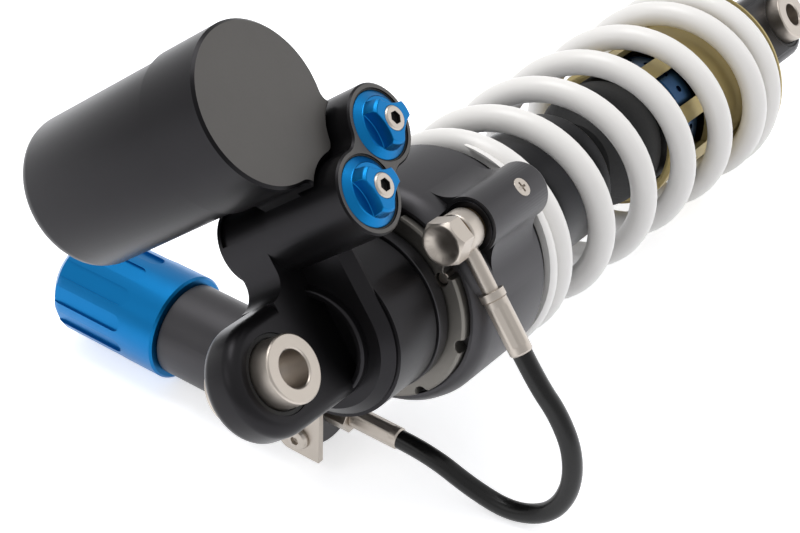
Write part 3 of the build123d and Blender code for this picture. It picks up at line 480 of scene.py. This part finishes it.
def machined(node, maker, edge, angle=EDGE_ANGLE, cutters=(), added=()):
    """A clean copy of a CAD node, with merged points, carvings, rounded edges and its finish."""
    mesh = frame["nodes"][node].data.copy()
    mesh.transform(frame["nodes"][node].matrix_world)
    form = bmesh.new()
    form.from_mesh(mesh)
    bmesh.ops.remove_doubles(form, verts=form.verts, dist=MERGE_DISTANCE)
    bmesh.ops.dissolve_limit(form, angle_limit=radians(FLAT_ANGLE), verts=form.verts, edges=form.edges,
                             use_dissolve_boundaries=False)
    form.to_mesh(mesh)
    form.free()
    piece = new_piece(f"{node}_finished", mesh, maker, node_body(node))
    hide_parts(node)
    combine(piece, cutters, "DIFFERENCE")
    combine(piece, added, "UNION")
    shade_by_edges(piece.data, angle)
    return soften(piece, edge, angle)


# What each machined node is finished with, and how far its edges are rounded, in millimetres
MACHINED = {
    "head_body": (anodised_black, 0.35),
    "upper_bearing": (black_plastic, 0.0),
    "upper_seals": (rubber, 0.2),
    "upper_bush": (stainless, 0.15),
    "high_speed_knob": (anodised_blue, 0.25),
    "high_speed_screw": (stainless, 0.15),
    "low_speed_knob": (anodised_blue, 0.25),
    "low_speed_screw": (stainless, 0.15),
    "knob_seals": (rubber, 0.0),
    "reservoir_tube": (anodised_black, 0.2),
    "reservoir_end_cap": (anodised_black, 0.2),
    "gas_valve": (stainless, 0.1),
    "gas_valve_cap": (black_plastic, 0.2),
    "damper_tube": (anodised_grey, 0.2),
    "shaft": (hard_chrome, 0.0),
    "seal_head": (anodised_black, 0.2),
    "wiper_seal": (rubber, 0.1),
    "circlip": (stainless, 0.1),
    "tube_collar": (satin_black, 0.2),
    "lock_ring": (plain_aluminium, 0.2),
    "stop_pin": (stainless, 0.2),
    "preload_housing": (satin_black, 0.3),
    "bleed_screw": (stainless, 0.1),
    "preload_seat": (anodised_black, 0.2),
    "spring_retainer": (anodised_gold, 0.3),
    "rebound_wheel": (anodised_dark_blue, 0.2),
    "bump_plate": (black_plastic, 0.2),
    "shaft_lock_nut": (stainless, 0.2),
    "lower_eye": (anodised_black, 0.3),
    "lower_bearing": (black_plastic, 0.0),
    "lower_seals": (rubber, 0.2),
    "lower_bush": (stainless, 0.15),
    "banjo_bolt": (stainless, 0.2),
    "banjo_fitting": (stainless, 0.15),
    "sealing_washers": (copper, 0.1),
    "port_spacer": (anodised_black, 0.1),
    "upper_ferrule": (stainless, 0.1),
    "adjuster_knob": (anodised_blue, 0.3),
    "adjuster_body": (satin_black, 0.3),
    "port_fitting": (stainless, 0.2),
    "lower_ferrule": (stainless, 0.1),
    "bracket": (stainless, 0.25),
    "bracket_screw": (stainless, 0.15),
}

# Pieces whose shallow flats show only where their edges are kept at a smaller angle
FLATS_ANGLE = {"upper_ferrule": 13.0, "lower_ferrule": 13.0}

# Pieces inside the shock, which only get a finish
INNER = {
    "floating_piston": plain_aluminium,
    "floating_piston_seal": rubber,
    "main_piston": plain_aluminium,
    "piston_band": black_plastic,
    "piston_nut": stainless,
    "top_out_spacer": rubber,
    "preload_seal": rubber,
    "adjuster_spindle": stainless,
    "drive_piston": plain_aluminium,
    "drive_piston_seal": rubber,
}


class SpringSizes(bpy.types.PropertyGroup):
    """Sizes of the coil spring."""
    mean_radius: bpy.props.FloatProperty(
        name="Mean radius", description="From the shock's axis to the wire's middle", default=35.3 * MM,
        unit="LENGTH", precision=5)
    wire: bpy.props.FloatProperty(
        name="Wire diameter", description="Diameter of the coated wire", default=9.7 * MM, unit="LENGTH", precision=5)
    turns: bpy.props.FloatProperty(name="Turns", description="Turns from tip to tip", default=7.65)
    tip_angle: bpy.props.FloatProperty(
        name="Tip angle", description="Where the upper tip lies round the axis", default=radians(130.3),
        subtype="ANGLE")
    start: bpy.props.FloatProperty(
        name="Start", description="Upper seat, from the upper eye", default=107.4 * MM, unit="LENGTH", precision=5)
    end: bpy.props.FloatProperty(
        name="End", description="Lower seat, from the upper eye", default=302.0 * MM, unit="LENGTH", precision=5)
    dead_pitch: bpy.props.FloatProperty(
        name="Dead pitch", description="Rise of the closed end turns", default=9.8 * MM, unit="LENGTH", precision=5)
    dead_turns: bpy.props.FloatProperty(name="Dead turns", description="Closed turns at each end", default=1.0)
    ramp_turns: bpy.props.FloatProperty(
        name="Ramp turns", description="Turns in which the pitch opens", default=0.5)


class HoseSizes(bpy.types.PropertyGroup):
    """Sizes of the preload hose."""
    diameter: bpy.props.FloatProperty(
        name="Diameter", description="Outer diameter of the hose", default=6.8 * MM, unit="LENGTH", precision=5)


class StageSettings(bpy.types.PropertyGroup):
    """The table, the lamps and the world."""
    table_size: bpy.props.FloatProperty(
        name="Table size", description="Side of the square table", default=6.0, unit="LENGTH")
    key_power: bpy.props.FloatProperty(
        name="Key lamp", description="Power of the overhead softbox", default=4.2, unit="POWER")
    fill_power: bpy.props.FloatProperty(
        name="Fill lamp", description="Power of the softbox at the right", default=1.6, unit="POWER")
    wall: bpy.props.FloatProperty(name="Wall", description="Strength of the lit white wall behind", default=0.95)
    room: bpy.props.FloatProperty(
        name="Room", description="Share of the wall's light that comes from the room in front", default=0.75,
        subtype="FACTOR")


def ramp_area(value):
    """The area under a smooth step from 0 to value."""
    held = min(max(value, 0.0), 1.0)
    return held ** 3 - held ** 4 / 2 + max(value - 1.0, 0.0)


def spring_place(sizes, turn):
    """The wire's middle after so many turns: its distance along the axis, and its angle."""
    length = sizes.end - sizes.start - 2 * TIP_INSET
    active = sizes.turns - 2 * sizes.dead_turns - sizes.ramp_turns
    pitch = sizes.dead_pitch + (length - sizes.dead_pitch * sizes.turns) / active
    fall_start = sizes.turns - sizes.dead_turns - sizes.ramp_turns
    rise = ramp_area((turn - sizes.dead_turns) / sizes.ramp_turns) * sizes.ramp_turns
    fall = ramp_area((turn - fall_start) / sizes.ramp_turns) * sizes.ramp_turns
    along = sizes.start + TIP_INSET + sizes.dead_pitch * turn + (pitch - sizes.dead_pitch) * (rise - fall)
    return along, sizes.tip_angle + 2 * pi * turn


class SHOCK_OT_stage(bpy.types.Operator):
    """Adds the camera, the white table, the softboxes and the pale surroundings"""
    bl_idname = "shock.stage"
    bl_label = "Stage"

    def execute(self, context):
        settings = context.scene.shock_stage
        scene = context.scene
        scene.view_settings.view_transform = "Standard"
        self.add_camera(scene)
        self.add_table(scene, settings)
        self.add_lamps(scene, settings)
        return {"FINISHED"}

    def add_camera(self, scene):
        camera = bpy.data.objects.new("camera", bpy.data.cameras.new("camera"))
        camera.data.lens = CAMERA_LENS
        camera.data.sensor_width = SENSOR_WIDTH
        camera.location = CAMERA_PLACE
        camera.rotation_euler = [radians(angle) for angle in CAMERA_TURN]
        scene.collection.objects.link(camera)
        scene.camera = camera

    def add_table(self, scene, settings):
        form = bmesh.new()
        bmesh.ops.create_grid(form, x_segments=1, y_segments=1, size=settings.table_size / 2)
        mesh = bpy.data.meshes.new("table")
        form.to_mesh(mesh)
        form.free()
        mesh.transform(Matrix.Translation((0, 0, TABLE)))
        table = bpy.data.objects.new("table", mesh)
        scene.collection.objects.link(table)
        material, tree, shader = new_material("white_table")
        shader.inputs["Base Color"].default_value = linear("#f4f5f8")
        shader.inputs["Roughness"].default_value = 0.6
        shader.inputs["Specular IOR Level"].default_value = 0.2
        rays = add_node(tree, "ShaderNodeLightPath")
        seen = add_node(tree, "ShaderNodeMath", {0: rays.outputs["Is Camera Ray"], 1: rays.outputs["Is Glossy Ray"]},
                        operation="ADD", use_clamp=True)
        glow = add_node(tree, "ShaderNodeMath", {0: seen.outputs["Value"], 1: TABLE_GLOW}, operation="MULTIPLY")
        shader.inputs["Emission Color"].default_value = (1, 1, 1, 1)
        tree.links.new(glow.outputs["Value"], shader.inputs["Emission Strength"])
        mesh.materials.append(material)

    def add_lamps(self, scene, settings):
        middle = Vector((0.12, 0.0, -0.02))
        lamps = (
            ("overhead_softbox", Vector((0.15, 0.25, 0.95)), (0.6, 0.45), settings.key_power),
            ("side_softbox", Vector((-0.75, 0.35, 0.55)), (0.6, 0.5), settings.fill_power * 0.5),
            ("right_softbox", Vector((0.80, -0.61, 0.25)), (0.9, 0.6), settings.fill_power * 0.6),
        )
        for name, place, size, power in lamps:
            data = bpy.data.lights.new(name, "AREA")
            data.shape = "RECTANGLE"
            data.size, data.size_y = size
            data.energy = power
            lamp = bpy.data.objects.new(name, data)
            lamp.location = place
            lamp.rotation_euler = (middle - place).to_track_quat("-Z", "Y").to_euler()
            scene.collection.objects.link(lamp)
        world = bpy.data.worlds.new("pale_room")
        scene.world = world
        world.use_nodes = True
        tree = world.node_tree
        tree.nodes.clear()
        rays = add_node(tree, "ShaderNodeLightPath")
        around = add_node(tree, "ShaderNodeTexCoord").outputs["Generated"]
        facing = add_node(tree, "ShaderNodeVectorMath", {0: around, 1: WALL_SIDE}, operation="DOT_PRODUCT")
        level = add_node(tree, "ShaderNodeMapRange", {
            "Value": facing.outputs["Value"], "From Min": -WALL_FADE, "From Max": WALL_FADE,
            "To Min": settings.room * settings.wall, "To Max": settings.wall})
        room = add_node(tree, "ShaderNodeBackground", {"Color": linear("#f6f6f7"), "Strength": level.outputs["Result"]})
        backdrop = add_node(tree, "ShaderNodeBackground", {"Color": (1, 1, 1, 1), "Strength": 1.0})
        mix = add_node(tree, "ShaderNodeMixShader", {0: rays.outputs["Is Camera Ray"]})
        tree.links.new(room.outputs["Background"], mix.inputs[1])
        tree.links.new(backdrop.outputs["Background"], mix.inputs[2])
        output = add_node(tree, "ShaderNodeOutputWorld")
        tree.links.new(mix.outputs["Shader"], output.inputs["Surface"])


class SHOCK_OT_hose(bpy.types.Operator):
    """Adds the preload hose between its two ferrules"""
    bl_idname = "shock.hose"
    bl_label = "Hose"

    def execute(self, context):
        sizes = context.scene.shock_hose
        data = bpy.data.curves.new("hose", "CURVE")
        data.dimensions = "3D"
        data.bevel_depth = sizes.diameter / 2
        data.bevel_resolution = 8
        data.resolution_u = 24
        data.use_fill_caps = True
        spline = data.splines.new("NURBS")
        spline.points.add(len(HOSE_ROUTE) - 1)
        for knot, place in zip(spline.points, HOSE_ROUTE):
            knot.co = (*(c * MM for c in place), 1.0)
        spline.order_u = 3
        spline.use_endpoint_u = True
        hose = bpy.data.objects.new("preload_hose", data)
        context.scene.collection.objects.link(hose)
        data.materials.append(finish_of(hose_cover))
        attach(hose, "head")
        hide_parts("hose")
        return {"FINISHED"}


class SHOCK_OT_machined(bpy.types.Operator):
    """Gives each machined part its rounded edges and its finish"""
    bl_idname = "shock.machined"
    bl_label = "Machined parts"

    def execute(self, context):
        cutters = {"head_body": self.head_cutters()}
        added = {"preload_housing": self.boss_fairings()}
        pieces = {node: machined(node, maker, edge, FLATS_ANGLE.get(node, EDGE_ANGLE), cutters.get(node, ()),
                                 added.get(node, ()))
                  for node, (maker, edge) in MACHINED.items()}
        head = pieces["head_body"]
        round_neck_lip(head)
        # The faces that look out on the knobs' side get a greyer black: painted light from the lamp they face.
        second_finish(head, painted_lit_face_black, lambda at, way: at.y < NECK_FACE_Y[1] and way.y < FACING_OUT)
        # The chamfers round the end faces get a deeper black: painted shade.
        second_finish(head, painted_shade_chamfer_black, lambda at, way: (
            EDGE_BAND_Y[0] < at.y < EDGE_BAND_Y[1] and CHAMFER_FACING[0] < way.y < CHAMFER_FACING[1]))
        # The chamfer at the tube's mouth takes the light stainless finish: a painted highlight, a bright line along the
        # seam.
        second_finish(pieces["reservoir_tube"], stainless, lambda at, way: (
            at.y < TUBE_MOUTH_Y and CHAMFER_FACING[0] < way.y < CHAMFER_FACING[1]))
        # The faces inside the screws' sockets get a near black: painted shade in the recess.
        for node, axis in (("high_speed_screw", HIGH_SPEED_AXIS), ("low_speed_screw", LOW_SPEED_AXIS)):
            top = min((SHOCK_BACK @ face.center).y for face in pieces[node].data.polygons) / MM
            second_finish(pieces[node], painted_socket_shade, lambda at, way, axis=axis, top=top: (
                at.y > top + SOCKET_DEPTH and hypot(at.x - axis[0], at.z - axis[1]) < SOCKET_RADIUS))
        for node, maker in INNER.items():
            frame["nodes"][node].data.materials.clear()
            frame["nodes"][node].data.materials.append(finish_of(maker))
        return {"FINISHED"}

    def head_cutters(self):
        """Solids that round the block's far shoulder and mill the relief into the low-speed barrel's side."""
        round_radius, round_side = 26.7, 10.05
        block_front, block_length = 29.0, 5.6
        corner = [(60, 80), (60, -1)] + arc(round_radius, (0, 0), 0, 66) + [(round_side, 80)]
        shoulder = prism(corner, block_front, block_length, "x")
        floor_radius, past_barrel = 12.7, 14.5
        relief_start, relief_length = -11.4, 19.9
        sector = arc(floor_radius, LOW_SPEED_AXIS, 118, 166) + arc(past_barrel, LOW_SPEED_AXIS, 166, 118)
        pocket = prism(sector, relief_start, relief_length, "y")
        return [shoulder, pocket]

    def boss_fairings(self):
        """The two hollow rounds that run the port's boss into the housing."""
        # The boss's middle is this far from the shock's axis, and turned this far round it
        reach, turn = 41.38, 166.3
        boss, shell, hollow = 9.7, 39.1, 14.0
        start, length = 74.5, 26.5
        overlap = 0.4
        # The middle of each round lies its radius away from both circles
        along = (reach ** 2 + (shell + hollow) ** 2 - (boss + hollow) ** 2) / (2 * reach)
        across = ((shell + hollow) ** 2 - along ** 2) ** 0.5
        forms = []
        for side in (-1, 1):
            middle = Vector((along, side * across))
            from_shell = middle.normalized() * (shell - overlap)
            from_boss = Vector((reach, 0)) + (middle - Vector((reach, 0))).normalized() * (boss - overlap)
            first, last = [atan2(*(place - middle).yx) for place in (from_shell, from_boss)]
            sweep = (last - first + pi) % (2 * pi) - pi
            edge = arc(hollow, middle, degrees(first), degrees(first + sweep), 10)
            outline = [from_shell, *(Vector(place) for place in edge), from_boss, Vector((reach - 2, 0)),
                       Vector((shell - 4, 0))]
            tilt = Matrix.Rotation(radians(turn), 2)
            forms.append(prism([tuple(tilt @ place) for place in outline], start, length, "x"))
        return forms


class SHOCK_OT_spring(bpy.types.Operator):
    """Winds the coil spring and grinds its ends flat"""
    bl_idname = "shock.spring"
    bl_label = "Coil spring"

    def execute(self, context):
        sizes = context.scene.shock_spring
        steps = round(sizes.turns * RINGS_PER_TURN)
        form = bmesh.new()
        ring = bmesh.ops.create_circle(form, segments=WIRE_SIDES, radius=sizes.wire / 2)["verts"]
        along, angle = spring_place(sizes, 0.0)
        place = Matrix.Rotation(angle, 4, "X") @ Matrix.Translation((along, sizes.mean_radius, 0))
        bmesh.ops.transform(form, matrix=place, verts=ring)
        edges = form.edges[:]
        for step in range(1, steps + 1):
            grown = bmesh.ops.extrude_edge_only(form, edges=edges)["geom"]
            ring = [item for item in grown if isinstance(item, bmesh.types.BMVert)]
            edges = [item for item in grown if isinstance(item, bmesh.types.BMEdge)]
            last_along, last_angle = along, angle
            along, angle = spring_place(sizes, sizes.turns * step / steps)
            bmesh.ops.rotate(form, verts=ring, cent=(0, 0, 0), matrix=Matrix.Rotation(angle - last_angle, 3, "X"))
            bmesh.ops.translate(form, verts=ring, vec=(along - last_along, 0, 0))
        for place, outward in ((sizes.start, -1), (sizes.end, 1)):
            everything = form.verts[:] + form.edges[:] + form.faces[:]
            bmesh.ops.bisect_plane(form, geom=everything, plane_co=(place, 0, 0), plane_no=(outward, 0, 0),
                                   clear_outer=True)
        bmesh.ops.holes_fill(form, edges=[line for line in form.edges if line.is_boundary], sides=0)
        bmesh.ops.recalc_face_normals(form, faces=form.faces)
        for face in form.faces:
            face.smooth = True
        for line in form.edges:
            line.smooth = len(line.link_faces) != 2 or line.calc_face_angle(0.0) < radians(TIP_ANGLE)
        mesh = bpy.data.meshes.new("coil_spring")
        form.to_mesh(mesh)
        form.free()
        mesh.transform(SHOCK)
        spring = new_piece("coil_spring", mesh, powder_coat, None)
        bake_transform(spring)
        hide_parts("spring")
        return {"FINISHED"}


class SHOCK_OT_bump_stop(bpy.types.Operator):
    """Shows the foam bump stop"""
    bl_idname = "shock.bump_stop"
    bl_label = "Bump stop"

    def execute(self, context):
        piece = machined("bump_stop", bump_foam, 0.0)
        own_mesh(piece)
        return {"FINISHED"}


PANEL_ORDER = (SHOCK_OT_stage, SHOCK_OT_machined, SHOCK_OT_hose, SHOCK_OT_spring, SHOCK_OT_bump_stop)


class SHOCK_PT_panel(bpy.types.Panel):
    """Lists the shock absorber's operators"""
    bl_label = "Shock absorber"
    bl_idname = "SHOCK_PT_panel"
    bl_space_type = "VIEW_3D"
    bl_region_type = "UI"
    bl_category = "Shock"

    def draw(self, context):
        for operator in PANEL_ORDER:
            self.layout.operator(operator.bl_idname)


CLASSES = (SpringSizes, HoseSizes, StageSettings) + PANEL_ORDER + (SHOCK_PT_panel,)


def register():
    for item in CLASSES:
        bpy.utils.register_class(item)
    bpy.types.Scene.shock_spring = bpy.props.PointerProperty(type=SpringSizes)
    bpy.types.Scene.shock_hose = bpy.props.PointerProperty(type=HoseSizes)
    bpy.types.Scene.shock_stage = bpy.props.PointerProperty(type=StageSettings)


def unregister():
    del bpy.types.Scene.shock_stage
    del bpy.types.Scene.shock_hose
    del bpy.types.Scene.shock_spring
    for item in reversed(CLASSES):
        bpy.utils.unregister_class(item)


def main():
    register()
    bpy.ops.shock.stage()
    bpy.ops.shock.machined()
    bpy.ops.shock.hose()
    bpy.ops.shock.spring()
    bpy.ops.shock.bump_stop()


if __name__ == "__main__":
    main()
